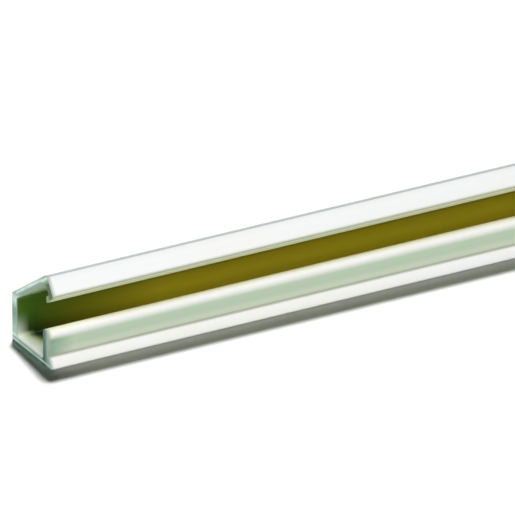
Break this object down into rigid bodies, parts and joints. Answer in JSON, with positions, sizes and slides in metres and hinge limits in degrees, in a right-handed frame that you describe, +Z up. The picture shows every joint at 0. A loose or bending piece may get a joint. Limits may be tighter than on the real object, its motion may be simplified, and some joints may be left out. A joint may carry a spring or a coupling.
{
  "type": "cord cover raceway",
  "caption": "Length of white plastic cord cover raceway: a channel with a flat base, round-topped front wall, and sloping hood whose lip leaves a mouth for pressing cords in.",
  "frame": {"origin": "middle of the flat base's underside, half way along the length", "axes": "+X along the length, the mouth faces -Y, +Z up from the base"},
  "size_m": [0.4, 0.0207, 0.024],
  "materials": {
    "pvc": "satin white extruded PVC with sawn ends"
  },
  "bodies": {
    "root": {"raceway_channel": "pvc"}
  },
  "joints": []
}
